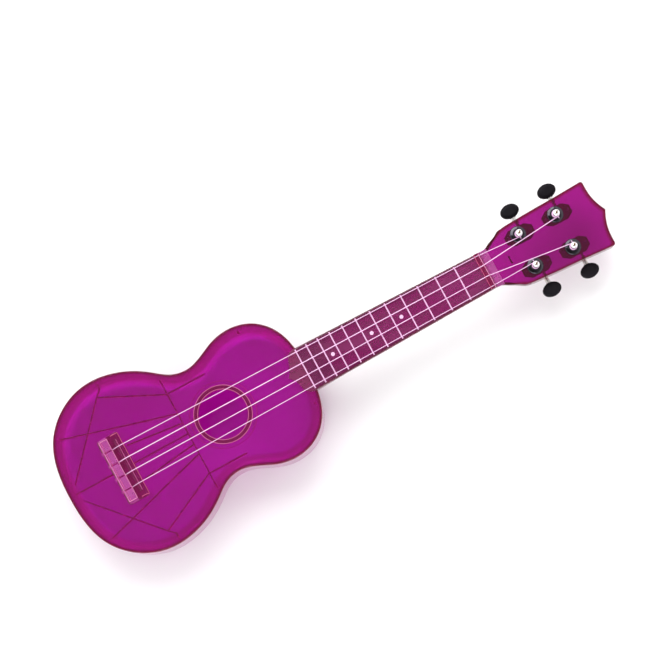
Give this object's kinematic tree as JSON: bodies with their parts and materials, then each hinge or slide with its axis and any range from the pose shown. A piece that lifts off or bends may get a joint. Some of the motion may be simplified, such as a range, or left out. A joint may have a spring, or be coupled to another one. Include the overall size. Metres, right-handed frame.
{
  "type": "ukulele",
  "caption": "Soprano ukulele in translucent moulded plastic: hollow figure-of-eight body, fretted neck, slotted bridge, and geared tuning machines whose buttons turn the string posts.",
  "frame": {"origin": "on the flat back face of the body, at the middle of the body's length and on its centre line", "axes": "+Y along the neck towards the head, +Z out of the soundboard towards the strings, +X to the right when the head points up and the soundboard faces the viewer"},
  "size_m": [0.1602, 0.5241, 0.0696],
  "materials": {
    "body_plastic": "clear moulded polycarbonate, tinted magenta-purple, polished",
    "top_plastic": "clear moulded polycarbonate, tinted magenta-purple, polished",
    "neck_plastic": "clear moulded polycarbonate, tinted magenta-purple, polished",
    "board_plastic": "tinted translucent plastic, finely frosted face",
    "fret_plastic": "moulded bars, bright worn crowns",
    "dot_white": "white inlay",
    "nut_plastic": "tinted translucent plastic",
    "bridge_plastic": "tinted translucent plastic",
    "saddle_plastic": "tinted translucent plastic",
    "clear_nylon": "clear drawn nylon",
    "plate_metal": "pressed plate, black nickel",
    "screw_metal": "black nickel",
    "bushing_metal": "black chrome, polished",
    "post_metal": "nickel, polished",
    "gear_brass": "hobbed brass",
    "shaft_metal": "nickel, satin",
    "button_plastic": "satin black moulding"
  },
  "bodies": {
    "instrument": {"back_bowl": "body_plastic", "soundboard": "top_plastic", "neck": "neck_plastic", "fretboard": "board_plastic", "frets": "fret_plastic", "position_dots": "dot_white", "nut": "nut_plastic", "bridge": "bridge_plastic", "saddle": "saddle_plastic", "string_g": "clear_nylon", "string_c": "clear_nylon", "string_e": "clear_nylon", "string_a": "clear_nylon", "tuner_plate_g": "plate_metal", "plate_screws_g": "screw_metal", "bushing_g": "bushing_metal", "tuner_plate_c": "plate_metal", "plate_screws_c": "screw_metal", "bushing_c": "bushing_metal", "tuner_plate_e": "plate_metal", "plate_screws_e": "screw_metal", "bushing_e": "bushing_metal", "tuner_plate_a": "plate_metal", "plate_screws_a": "screw_metal", "bushing_a": "bushing_metal"},
    "worm_g": {"worm_shaft_g": "shaft_metal", "button_g": "button_plastic"},
    "winder_g": {"post_g": "post_metal", "gear_g": "gear_brass", "gear_screw_g": "screw_metal", "string_coil_g": "clear_nylon"},
    "worm_c": {"worm_shaft_c": "shaft_metal", "button_c": "button_plastic"},
    "winder_c": {"post_c": "post_metal", "gear_c": "gear_brass", "gear_screw_c": "screw_metal", "string_coil_c": "clear_nylon"},
    "worm_e": {"worm_shaft_e": "shaft_metal", "button_e": "button_plastic"},
    "winder_e": {"post_e": "post_metal", "gear_e": "gear_brass", "gear_screw_e": "screw_metal", "string_coil_e": "clear_nylon"},
    "worm_a": {"worm_shaft_a": "shaft_metal", "button_a": "button_plastic"},
    "winder_a": {"post_a": "post_metal", "gear_a": "gear_brass", "gear_screw_a": "screw_metal", "string_coil_a": "clear_nylon"}
  },
  "joints": [
    {"name": "button_turn_g", "type": "hinge", "parent": "instrument", "child": "worm_g", "pos_m": [-0.0155, 0.33397, 0.0362], "axis": [-1, 0, 0], "continuous": true},
    {"name": "post_turn_g", "type": "hinge", "parent": "instrument", "child": "winder_g", "pos_m": [-0.0155, 0.33044, 0.05357], "axis": [0, 0.1736, 0.9848], "continuous": true},
    {"name": "button_turn_c", "type": "hinge", "parent": "instrument", "child": "worm_c", "pos_m": [-0.016, 0.37041, 0.02977], "axis": [-1, 0, 0], "continuous": true},
    {"name": "post_turn_c", "type": "hinge", "parent": "instrument", "child": "winder_c", "pos_m": [-0.016, 0.36688, 0.04715], "axis": [0, 0.1736, 0.9848], "continuous": true},
    {"name": "button_turn_e", "type": "hinge", "parent": "instrument", "child": "worm_e", "pos_m": [0.016, 0.37041, 0.02977], "axis": [1, 0, 0], "continuous": true},
    {"name": "post_turn_e", "type": "hinge", "parent": "instrument", "child": "winder_e", "pos_m": [0.016, 0.36688, 0.04715], "axis": [0, 0.1736, 0.9848], "continuous": true},
    {"name": "button_turn_a", "type": "hinge", "parent": "instrument", "child": "worm_a", "pos_m": [0.0155, 0.33397, 0.0362], "axis": [1, 0, 0], "continuous": true},
    {"name": "post_turn_a", "type": "hinge", "parent": "instrument", "child": "winder_a", "pos_m": [0.0155, 0.33044, 0.05357], "axis": [0, 0.1736, 0.9848], "continuous": true}
  ],
  "couplings": [
    {"joint": "post_turn_g", "follows": "button_turn_g", "ratio": 0.071429},
    {"joint": "post_turn_c", "follows": "button_turn_c", "ratio": 0.071429},
    {"joint": "post_turn_e", "follows": "button_turn_e", "ratio": -0.071429},
    {"joint": "post_turn_a", "follows": "button_turn_a", "ratio": -0.071429}
  ]
}
